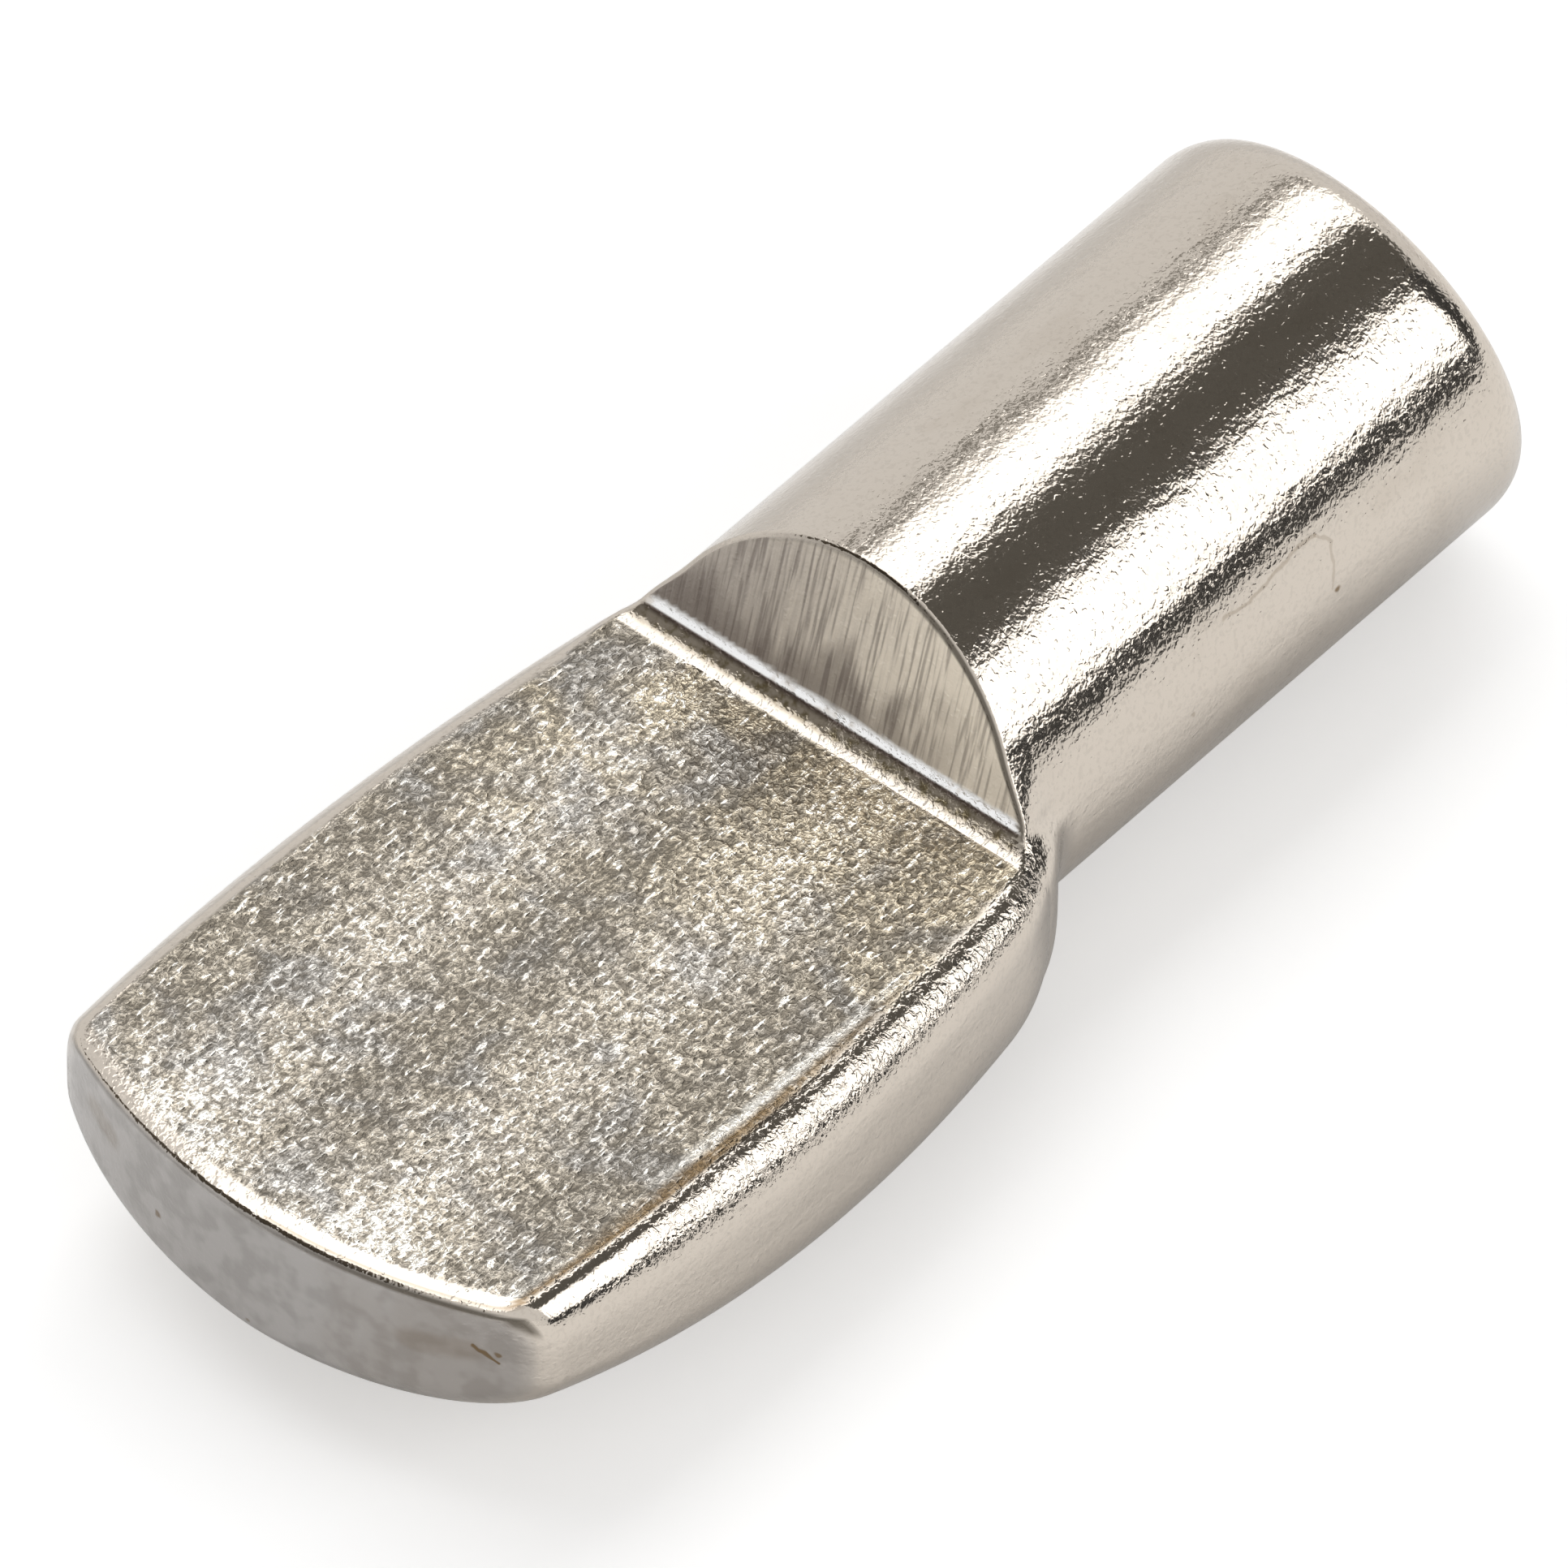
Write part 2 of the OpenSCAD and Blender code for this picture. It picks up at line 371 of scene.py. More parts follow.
def endRings(theta):
    # rounding of the free end, then the cropped face
    inward, back = pin["endRound"]
    rings = []
    for turn in np.linspace(0, np.pi / 2, grid["endRimRings"] + 1)[1:]:
        r = pin["stemRadius"] - inward * (1 - cos(turn))
        x, z = r * np.sin(theta), r * np.cos(theta)
        rings.append((x, endPlane(x, z) - back * (1 - sin(turn)), z))
    for share in (1 - crowded(*grid["endFaceRings"]))[1:-1]:
        r = (pin["stemRadius"] - inward) * share
        x, z = r * np.sin(theta), r * np.cos(theta)
        rings.append((x, endPlane(x, z), z))
    return rings


def pinSurface():
    # rings from the tip's face to the stem's end, whose lines follow the edge of the flat
    tipFace, rimY = tipFaceRings()
    shoulder, shoulderY = shoulderRings()
    stem, theta = stemRings(shoulderY)
    rings = tipFace + spoonRings(rimY) + shoulder + stem + endRings(theta)
    parts = [np.array([np.broadcast_to(ring[k].ravel(), theta.shape) for ring in rings]) for k in range(3)]
    x, y, z = settle(*parts)
    poles = settle(*[np.array([part[0].mean(), part[-1].mean()]) for part in parts])
    return x, y, z, poles


def gridMesh(name, x, y, z, poles):
    # joins each ring to the next, and the first and last ring to a pole
    ringCount, lineCount = x.shape
    points = np.stack([np.concatenate([a.ravel(), p]) for a, p in zip((x, y, z), poles)], axis=1)
    i, j = np.meshgrid(np.arange(ringCount - 1), np.arange(lineCount), indexing="ij")
    k = (j + 1) % lineCount
    here, beyond = i * lineCount, (i + 1) * lineCount
    quads = np.stack([here + j, here + k, beyond + k, beyond + j], -1)
    line = np.arange(lineCount)
    nextLine = (line + 1) % lineCount
    lastRing = (ringCount - 1) * lineCount
    firstPole = ringCount * lineCount
    firstFan = np.stack([np.full(lineCount, firstPole), nextLine, line], -1)
    lastFan = np.stack([np.full(lineCount, firstPole + 1), lastRing + line, lastRing + nextLine], -1)
    faces = quads.reshape(-1, 4).tolist() + firstFan.tolist() + lastFan.tolist()
    mesh = bpy.data.meshes.new(name)
    mesh.from_pydata((points * millimetre).tolist(), [], faces)
    mesh.validate()
    mesh.polygons.foreach_set("use_smooth", np.ones(len(mesh.polygons), bool))
    out = np.stack(steepness(*points.T), axis=1)      # true normals, so that small roundings are smooth
    out /= np.linalg.norm(out, axis=1, keepdims=True)
    mesh.normals_split_custom_set_from_vertices(out.tolist())
    mesh.update()
    piece = bpy.data.objects.new(name, mesh)
    bpy.context.scene.collection.objects.link(piece)
    return piece


print("pin: working out its surface")
surface = pinSurface()
print("pin: joining its rings into a mesh")
supportPin = gridMesh("supportPinBody", *surface)
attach(supportPin, "root")
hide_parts("support_pin")


# where each finish begins and where it is full, and in a pair of pairs how it comes in and how it goes:
# shares for the way the surface faces, degrees for how far the foot's hollow has turned off level, and
# millimetres for places
region = {
    "flatUp": (0.985, 0.998),
    "flatPastFoot": 0.1,                # the flat's finish fades out this far past the foot
    "faceFront": (0.97, 0.997),
    "faceHeight": (0.05, 0.2),          # above the flat
    "footHeight": (1.0, 0.85),
    "footY": ((-1.2, -1.1), (-0.25, -0.4)),
    "footInside": (0.03, 0.12),         # in from the side of the blank
    "footHalf": 2.9,                    # either side of the middle
    "darkTurn": ((18, 30), (54, 51)),
    "lightTurn": ((50, 54), (70, 66)),
    "lineTurn": ((42, 46), (54, 51)),
    "tipY": (-8, -8.4),
    "tipFront": (0.6, 0.9),
    "tipLineUp": ((0.1, 0.25), (0.7, 0.55)),
    "tipLineFront": (0.5, 0.6),
    "edgeUp": (0.9, 0.97),
    "edgeY": (-1.6, -5.5),
    "edgeHighlight": ((0.1, 0.12), (0.16, 0.14)),      # in from the side of the blank
    "edgeShade": ((0.03, 0.05), (0.11, 0.09)),
    "rimUp": ((0.995, 0.95), (0.1, 0.35)),
    "rimY": ((-0.3, -0.7), (-8.2, -6.5)),
    "arcInside": 0.035,                 # in from the round
    "arcReach": (0.045, 0.02),
    "arcHeight": 0.1,                   # above the flat
    "arcX": (-2, 1),
}


def between(rise, fall, value):
    # 1 inside, with a soft step at each end
    return smoothStep(*rise, value) * smoothStep(*fall, value)


def markRegions(piece):
    # shares from 0 to 1 at each point, which say what part of the pin it is on and so what finish it has
    points = np.empty(len(piece.data.vertices) * 3)
    piece.data.vertices.foreach_get("co", points)
    x, y, z = points.reshape(-1, 3).T / millimetre
    footY, flatZ, lean = pin["footY"], pin["flatZ"], radians(pin["shoulderLean"])
    gx, gy, gz = steepness(x, y, z)
    size = np.sqrt(gx * gx + gy * gy + gz * gz)
    up, front = gz / size, -gy / size
    inside = -blankField(x, y, z)
    shares = {}
    onFlat = smoothStep(*region["flatUp"], up)
    shares["onFlat"] = onFlat * smoothStep(footY + region["flatPastFoot"], footY, y)
    faceStart, faceFull = region["faceHeight"]
    onFace = smoothStep(*region["faceFront"], front * cos(lean) + up * sin(lean))
    shares["onFace"] = onFace * smoothStep(flatZ + faceStart, flatZ + faceFull, z)
    # the hollow at the foot: painted shade in it, a painted dark line of shade along it and a painted
    # highlight where it turns up
    turned = np.degrees(np.arctan2(front, up))
    nearFoot = smoothStep(*region["footHeight"], z) * between(*region["footY"], y)
    nearFoot *= smoothStep(*region["footInside"], inside) * (np.abs(x) < region["footHalf"])
    shares["footShade"] = nearFoot * between(*region["darkTurn"], turned)
    shares["footHighlight"] = nearFoot * between(*region["lightTurn"], turned)
    shares["footLine"] = nearFoot * between(*region["lineTurn"], turned)
    # the tip's face, and the line along its upper edge
    nearTip = smoothStep(*region["tipY"], y)
    shares["onTip"] = smoothStep(*region["tipFront"], front) * nearTip
    tipLine = between(*region["tipLineUp"], up) * smoothStep(*region["tipLineFront"], front)
    shares["tipLine"] = tipLine * nearTip
    # along the flat's near edge lies a painted highlight line, with a painted dark line of shade outside it,
    # and grain round its rim
    nearEdge = smoothStep(*region["edgeUp"], up) * (x > 0) * smoothStep(*region["edgeY"], y)
    shares["edgeHighlight"] = nearEdge * between(*region["edgeHighlight"], inside)
    shares["edgeShade"] = nearEdge * between(*region["edgeShade"], inside)
    shares["nearRim"] = between(*region["rimUp"], up) * (x > 0) * between(*region["rimY"], y)
    # the sharp arc where the shoulder's face meets the round, on the face's side, which gets a painted dark
    # line of shade
    arc = np.hypot(region["arcInside"] - inside, pressField(x, y, z))
    onArc = smoothStep(*region["arcReach"], arc) * smoothStep(flatZ, flatZ + region["arcHeight"], z)
    shares["onArc"] = onArc * smoothStep(*region["arcX"], x)
    for name, values in shares.items():
        layer = piece.data.attributes.new(name, "FLOAT", "POINT")
        layer.data.foreach_set("value", values.astype(np.float32))
    return list(shares)


class Nodes:
    # short names for the few nodes that the materials use
    def __init__(self, name):
        self.material = bpy.data.materials.new(name)
        self.material.use_nodes = True
        self.tree = self.material.node_tree
        self.shader = self.tree.nodes["Principled BSDF"]

    def add(self, kind, **settings):
        node = self.tree.nodes.new("ShaderNode" + kind)
        for key, value in settings.items():
            setattr(node, key, value)
        return node

    def feed(self, socket, value):
        if hasattr(value, "links"):
            self.tree.links.new(value, socket)
        else:
            socket.default_value = value

    def math(self, operation, a, b=0.0, clamp=False):
        node = self.add("Math", operation=operation, use_clamp=clamp)
        self.feed(node.inputs[0], a)
        self.feed(node.inputs[1], b)
        return node.outputs[0]

    def plus(self, a, b):
        return self.math("ADD", a, b)

    def times(self, a, b):
        return self.math("MULTIPLY", a, b)

    def mix(self, share, a, b):
        return self.plus(self.times(share, b), self.times(self.math("SUBTRACT", 1.0, share), a))

    def swing(self, value, middle, size):
        # a number that swings about nought, so that parts with different grain meet without a step;
        # a noise's own middle is 0.5
        return self.times(self.math("SUBTRACT", value, middle), size)

    def stretch(self, value, low, high, toLow=0.0, toHigh=1.0):
        node = self.add("MapRange", interpolation_type="SMOOTHSTEP")
        for socket, v in zip(node.inputs[:5], (value, low, high, toLow, toHigh)):
            self.feed(socket, v)
        return node.outputs[0]

    def blend(self, share, a, b):
        node = self.add("Mix", data_type="RGBA")
        self.feed(node.inputs[0], share)
        self.feed(node.inputs[6], (*a, 1) if isinstance(a, tuple) else a)
        self.feed(node.inputs[7], (*b, 1) if isinstance(b, tuple) else b)
        return node.outputs[2]

    def vector(self, operation, a, b, output="Vector"):
        node = self.add("VectorMath", operation=operation)
        self.feed(node.inputs[0], a)
        self.feed(node.inputs[1], b)
        return node.outputs[output]

    def stroke(self, place, points, width):
        # share of a thin line through the points, or of a round spot where there is only one; it is full
        # up to a quarter of its width from the middle and gone at three quarters
        nearest = None
        for start, end in zip(points, points[1:] or points):
            offset = self.vector("SUBTRACT", place, (*start, 0))
            run = Vector((end[0] - start[0], end[1] - start[1], 0))
            way = run.normalized()[:]
            if run.length:
                along = self.vector("DOT_PRODUCT", offset, way, "Value")
                along = self.math("MINIMUM", self.math("MAXIMUM", along, 0.0), run.length)
                offset = self.vector("SUBTRACT", offset, self.vector("MULTIPLY", way, along))
            away = self.vector("DISTANCE", offset, (0, 0, 0), "Value")
            nearest = away if nearest is None else self.math("MINIMUM", nearest, away)
        return self.stretch(nearest, width * 0.75, width * 0.25)

    def noise(self, size, detail, roughness=0.5, distortion=0.0, stretched=(1, 1, 1), turned=0,
              output="Fac"):
        # size is in millimetres, of one blotch, and turned in degrees about Z
        mapping = self.add("Mapping")
        mapping.inputs["Rotation"].default_value[2] = radians(turned)
        mapping.inputs["Scale"].default_value = [k / (size * millimetre) for k in stretched]
        self.tree.links.new(self.add("TexCoord").outputs["Object"], mapping.inputs["Vector"])
        node = self.add("TexNoise")
        self.tree.links.new(mapping.outputs[0], node.inputs["Vector"])
        node.inputs["Scale"].default_value = 1
        node.inputs["Detail"].default_value = detail
        node.inputs["Roughness"].default_value = roughness
        node.inputs["Distortion"].default_value = distortion
        return node.outputs[output]


nickel = {
    "colour": (0.65, 0.585, 0.51),      # round the wire
    "flatColour": (0.5, 0.455, 0.39),
    "coolColour": (0.49, 0.465, 0.43),
    "warmColour": (0.62, 0.54, 0.41),
    # painted glints on the flat's grains, and a painted highlight line along its near edge
    "glint": (0.98, 0.95, 0.88),
    "tipColour": (0.53, 0.505, 0.485),
    # painted shade between the grains, partly the metal's own darker tone, and a painted dark line of shade
    # at the shoulder's arc; it also darkens the tip's face and the line along its upper edge
    "shadeAndDark": (0.1, 0.085, 0.065),
    # brown of stains, mottling, marks and the tip's darker near side, and painted shade in the dark line
    # along the flat's near edge
    "stainAndShade": (0.2, 0.13, 0.06),
    "faceFarShade": (0.5, 0.445, 0.39),     # painted shade on the shoulder's face, from its far side
    "faceNearLight": (1.0, 0.9, 0.75),      # to painted light at its near side
    "faceShadeAndStreaks": (0.12, 0.09, 0.075),   # painted shade low down on it and along the foot's line, and the dark of its streaks
    "footShade": (0.21, 0.17, 0.1),      # painted shade in the hollow of the foot, and a painted highlight where it turns up to the face
    "footHighlight": (1.0, 1.0, 1.0),
    # heights of the surface, in millimetres: deep on the flat, and faint round the wire
    "flatGrain": 0.05,
    "flatWaves": 0.1,
    "wireGrain": 0.0044,
    "wireStrokes": 0.006,
    "wireSpecks": 0.0019,
    "wireWaves": 0.03,
    "rimGrain": 0.014,                  # along the flat's near edge
    "faceStreaks": 0.012,
    "grainMiddle": 0.53,                # the mean of the flat's grain and of the specks
    "speckMiddle": 0.1,
    "fineShare": 0.6,                   # of the flat's grain, and the rest is short strokes
    "specksFrom": (0.58, 0.75),
    # colours of the flat: a pair says where a noise starts to count and where it counts in full, and of
    # four values the first two are where a share changes and the other two what it changes from and to
    "coolPatches": (0.46, 0.34),
    "warmPatches": (0.42, 0.6),
    "warmAlong": (-5.5, -1, 0.3, 1.0),  # on Y
    "bandPlaces": (-1.5, 2.55),         # paler bands lie along it: one at this X, then one at each such step
    "bandWander": 3.0,
    "bandStrength": 0.038,
    "patchStrength": 0.06,
    "paleTip": (-7.6, -9.2, 0.0, 0.075),
    "flatDark": (0.625, 0.41),
    "flatDarkness": 0.8,
    "wireDark": (0.5, 0.34),
    "wireDarkness": 0.08,
    "flatBright": (0.59, 0.68),
    "strokesBright": (0.67, 0.74),
    # the shoulder's face, in millimetres across and up
    "faceAcross": (-1.9, 1.8),
    "faceRagged": 2.4,
    "lowOnFace": (1.5, 0.8),
    "lowRagged": 1.6,
    "lowAcross": (2.2, 0.6, 0.15, 0.6),
    "streakDark": (0.52, 0.32),
    "streakDarkness": 0.45,
    # the foot, the flat's near edge and the arc
    "speckled": (0.3, 0.6, 1.0, 0.45),
    "brokenLight": (0.3, 0.45, 0.35, 1.0),
    "brokenEdge": (0.35, 0.5),
    "edgeDarkness": 0.85,
    "arcDarkness": 0.9,
    # the wire's mottling and the tip's face
    "mottled": (0.5, 0.68),
    "mottledAlong": (-0.2, 0.2, 0.0, 0.07),
    "tipDull": (0.42, 0.64),
    "tipNearDark": (0.4, 2.4),             # on X
    "tipNearDarkRagged": 3.0,
    "tipDarkness": 0.2,                 # of both
    "tipLineAcross": (-1.5, 1.8, 0.3, 0.9),
    "markRagged": (0.09, 0.09, 0),      # how far the marks' edges wander
    "markBlotch": 0.15,                 # and over what length
    "markPastSeat": (0.2, 0.4),         # those on the stem are seen from here
    # the shine
    "roughness": (0.12, 0.17),          # of the wire and of the flat
    "faceRoughness": 0.25,              # more on the shoulder's face
    "darkRoughness": 0.15,              # more between the grains
    "matt": (0.75, 0.4, 0.1),           # how far the face, the foot's hollow and its turn are matt
}

# noises of the finish: size of a blotch in millimetres, detail, roughness, distortion, how much it is
# stretched along X, Y and Z, and degrees it is turned about Z
nickelNoises = {
    "fine": (0.085, 2, 0.6, 0.8),
    "strokes": (0.068, 1, 0.5, 0.3, (1, 0.3, 1), 28),
    "crossStrokes": (0.068, 1, 0.5, 0.3, (1, 0.3, 1), -64),
    "wireGrain": (0.06, 1, 0.6, 0.5),
    "wireStrokes": (0.14, 1, 0.5, 0.4, (1, 0.4, 1)),
    "specks": (0.07, 1),
    "waves": (1.3, 1, 0.5, 0.3, (1, 0.6, 1)),
    "streaks": (0.05, 1, 0.6, 0.2, (1, 0.06, 0.06)),
    "patches": (0.9, 2, 0.6, 0.5),
    "blotches": (0.55, 2, 0.6, 0.3, (1, 0.5, 0.5)),
    "speckle": (0.1, 2, 0.6),
    "broken": (0.3, 2, 0.6),
    "dull": (0.4, 2, 0.6),
}

# faint marks: the part they lie on, how strong, how wide, and their line; on the stem it gives
# millimetres round from the near side and along, and on the tip's face across and up
marks = (
    ("stem", 0.32, 0.05, ((0.93, 2.95), (0.865, 3.34), (1.0, 4.19), (0.98, 4.45))),
    ("stem", 0.25, 0.04, ((0.98, 4.45), (0.76, 4.62), (0.2, 4.54))),
    ("stem", 0.9, 0.08, ((0.127, 4.62),)),
    ("stem", 0.4, 0.06, ((-0.75, 4.0),)),
    ("stem", 0.35, 0.06, ((0.1, 2.28),)),
    ("tip", 0.8, 0.09, ((-1.48, -0.65),)),
    ("tip", 0.6, 0.07, ((-0.16, -1.2),)),
    ("tip", 0.9, 0.05, ((2.46, -0.12), (2.72, -0.3))),
    ("tip", 0.8, 0.06, ((2.7, -0.16),)),
    ("tip", 0.25, 0.3, ((1.8, -0.3), (2.4, -0.2))),
    ("tip", 0.3, 0.3, ((-2.6, -0.1), (-2.3, -0.2))),
)


def nickelHeight(n, on, noise):
    # grain of short strokes on the flat, slow waves, specks round the wire, streaks up the shoulder
    wire = n.plus(n.swing(noise["wireGrain"], 0.5, nickel["wireGrain"]),
                  n.swing(noise["wireStrokes"], 0.5, nickel["wireStrokes"]))
    specks = n.stretch(noise["specks"], *nickel["specksFrom"])
    wire = n.plus(wire, n.swing(specks, nickel["speckMiddle"], nickel["wireSpecks"]))
    wire = n.plus(wire, n.swing(noise["fine"], 0.5, n.times(on["nearRim"], nickel["rimGrain"])))
    flat = n.swing(noise["grain"], nickel["grainMiddle"], nickel["flatGrain"])
    waviness = n.mix(on["onFlat"], nickel["wireWaves"], nickel["flatWaves"])
    height = n.plus(n.mix(on["onFlat"], wire, flat), n.swing(noise["waves"], 0.5, waviness))
    return n.plus(height, n.swing(noise["streaks"], 0.5, n.times(on["onFace"], nickel["faceStreaks"])))


def flatTone(n, on, noise, x, y):
    # warm and cool patches, paler bands along it, painted shade between the grains, partly the metal's own
    # darker tone, and painted glints on a few
    onFlat, patches = on["onFlat"], noise["patches"]
    tone = n.blend(onFlat, nickel["colour"], nickel["flatColour"])
    cool = n.times(n.stretch(patches, *nickel["coolPatches"]), onFlat)
    tone = n.blend(cool, tone, nickel["coolColour"])
    warm = n.times(n.stretch(patches, *nickel["warmPatches"]), onFlat)
    warm = n.times(warm, n.stretch(y, *nickel["warmAlong"]))
    tone = n.blend(warm, tone, nickel["warmColour"])
    at, apart = nickel["bandPlaces"]
    turn = n.times(n.math("SUBTRACT", x, at), 2 * pi / apart)
    turn = n.plus(turn, n.swing(patches, 0.5, nickel["bandWander"]))
    bare = n.plus(noise["grain"], n.times(n.math("COSINE", turn), nickel["bandStrength"]))
    bare = n.plus(bare, n.swing(patches, 0.5, nickel["patchStrength"]))
    bare = n.plus(bare, n.stretch(y, *nickel["paleTip"]))
    wireDark = n.times(n.stretch(noise["wireGrain"], *nickel["wireDark"]), nickel["wireDarkness"])
    flatDark = n.times(n.stretch(bare, *nickel["flatDark"]), nickel["flatDarkness"])
    dark = n.mix(onFlat, wireDark, flatDark)
    tone = n.blend(dark, tone, nickel["shadeAndDark"])
    glints = n.math("MAXIMUM", n.stretch(bare, *nickel["flatBright"]),
                    n.stretch(noise["bothStrokes"], *nickel["strokesBright"]))
    return n.blend(n.times(glints, onFlat), tone, nickel["glint"]), dark


def faceTone(n, on, noise, x, z, tone):
    # the shoulder's face: painted shade at its far side and low down, painted light at its near side,
    # streaked from top to bottom
    streaks, blotches = noise["streaks"], noise["blotches"]
    across = n.stretch(n.plus(x, n.swing(streaks, 0.5, nickel["faceRagged"])), *nickel["faceAcross"])
    face = n.blend(across, nickel["faceFarShade"], nickel["faceNearLight"])
    low = n.stretch(n.plus(z, n.swing(blotches, 0.5, nickel["lowRagged"])), *nickel["lowOnFace"])
    low = n.times(low, n.stretch(x, *nickel["lowAcross"]))
    face = n.blend(low, face, nickel["faceShadeAndStreaks"])
    streaked = n.times(n.stretch(streaks, *nickel["streakDark"]), nickel["streakDarkness"])
    face = n.blend(streaked, face, nickel["faceShadeAndStreaks"])
    return n.blend(on["onFace"], tone, face)


def edgeTone(n, on, noise, tone):
    # the foot's hollow in painted shade, the painted dark line of shade along it and the painted highlight
    # on its turn; then the flat's near edge and the arc, with their painted lines
    broken = noise["broken"]
    hollow = n.times(on["footShade"], n.stretch(noise["speckle"], *nickel["speckled"]))
    tone = n.blend(hollow, tone, nickel["footShade"])
    tone = n.blend(on["footLine"], tone, nickel["faceShadeAndStreaks"])
    turn = n.times(on["footHighlight"], n.stretch(broken, *nickel["brokenLight"]))
    tone = n.blend(turn, tone, nickel["footHighlight"])
    # a painted highlight line along the flat's near edge, and a painted dark line of shade outside it
    tone = n.blend(n.times(on["edgeHighlight"], n.stretch(broken, *nickel["brokenEdge"])), tone, nickel["glint"])
    tone = n.blend(n.times(on["edgeShade"], nickel["edgeDarkness"]), tone, nickel["stainAndShade"])
    # a painted dark line of shade along the arc
    return n.blend(n.times(on["onArc"], nickel["arcDarkness"]), tone, nickel["shadeAndDark"])


def tipTone(n, on, noise, x, y, tone):
    # the wire is faintly mottled, and the tip's face dull and darker towards its near side
    onTip, blotches = on["onTip"], noise["blotches"]
    mottled = n.times(n.stretch(blotches, *nickel["mottled"]), n.stretch(y, *nickel["mottledAlong"]))
    tone = n.blend(mottled, tone, nickel["stainAndShade"])
    tone = n.blend(onTip, tone, nickel["tipColour"])
    dull = n.times(n.stretch(noise["dull"], *nickel["tipDull"]), onTip)
    tone = n.blend(n.times(dull, nickel["tipDarkness"]), tone, nickel["shadeAndDark"])
    ragged = n.plus(x, n.swing(blotches, 0.5, nickel["tipNearDarkRagged"]))
    nearDarkened = n.times(n.stretch(ragged, *nickel["tipNearDark"]), onTip)
    tone = n.blend(n.times(nearDarkened, nickel["tipDarkness"]), tone, nickel["stainAndShade"])
    return n.blend(n.times(on["tipLine"], n.stretch(x, *nickel["tipLineAcross"])), tone, nickel["shadeAndDark"])


def markedTone(n, on, x, y, z, tone):
    # marks of handling, drawn on the stem's round unrolled and on the tip's face seen from the front
    onRound, onFront = n.add("CombineXYZ"), n.add("CombineXYZ")
    n.feed(onRound.inputs[0], n.times(n.math("ARCTAN2", z, x), pin["stemRadius"]))
    n.feed(onRound.inputs[1], y)
    n.feed(onFront.inputs[0], x)
    n.feed(onFront.inputs[1], z)
    ragged = n.vector("SUBTRACT", n.noise(nickel["markBlotch"], 1, output="Color"), (0.5, 0.5, 0.5))
    ragged = n.vector("MULTIPLY", ragged, nickel["markRagged"])
    parts = {"stem": (onRound, n.stretch(y, *nickel["markPastSeat"])), "tip": (onFront, on["onTip"])}
    for part, strength, width, line in marks:
        where, share = parts[part]
        share = n.times(share, n.stroke(n.vector("ADD", where.outputs[0], ragged), line, width))
        tone = n.blend(n.times(share, strength), tone, nickel["stainAndShade"])
    return tone


def nickelMaterial(regions):
    n = Nodes("tumbledNickel")
    on = {name: n.add("Attribute", attribute_name=name).outputs["Fac"] for name in regions}
    noise = {name: n.noise(*settings) for name, settings in nickelNoises.items()}
    noise["bothStrokes"] = n.math("MAXIMUM", noise["strokes"], noise["crossStrokes"])
    noise["grain"] = n.plus(n.times(noise["fine"], nickel["fineShare"]),
                            n.times(noise["bothStrokes"], 1 - nickel["fineShare"]))
    place = n.add("SeparateXYZ")
    n.feed(place.inputs[0], n.vector("MULTIPLY", n.add("TexCoord").outputs["Object"], (1 / millimetre,) * 3))
    x, y, z = place.outputs

    bump = n.add("Bump")
    bump.inputs["Strength"].default_value = 1
    bump.inputs["Distance"].default_value = millimetre
    n.feed(bump.inputs["Height"], nickelHeight(n, on, noise))
    n.feed(n.shader.inputs["Normal"], bump.outputs[0])

    tone, dark = flatTone(n, on, noise, x, y)
    tone = faceTone(n, on, noise, x, z, tone)
    tone = edgeTone(n, on, noise, tone)
    tone = tipTone(n, on, noise, x, y, tone)
    n.feed(n.shader.inputs["Base Color"], markedTone(n, on, x, y, z, tone))

    faceMatt, hollowMatt, turnMatt = nickel["matt"]
    matt = n.plus(n.times(on["onFace"], faceMatt), n.times(on["footShade"], hollowMatt))
    matt = n.math("MAXIMUM", matt, n.times(on["footHighlight"], turnMatt))
    n.feed(n.shader.inputs["Metallic"], n.math("SUBTRACT", 1.0, matt, True))
    soft = n.plus(n.mix(on["onFlat"], *nickel["roughness"]), n.times(on["onFace"], nickel["faceRoughness"]))
    n.feed(n.shader.inputs["Roughness"], n.plus(soft, n.times(dark, nickel["darkRoughness"])))
    return n.material


print("nickel: marking the parts and making the finish")
supportPin.data.materials.append(nickelMaterial(markRegions(supportPin)))


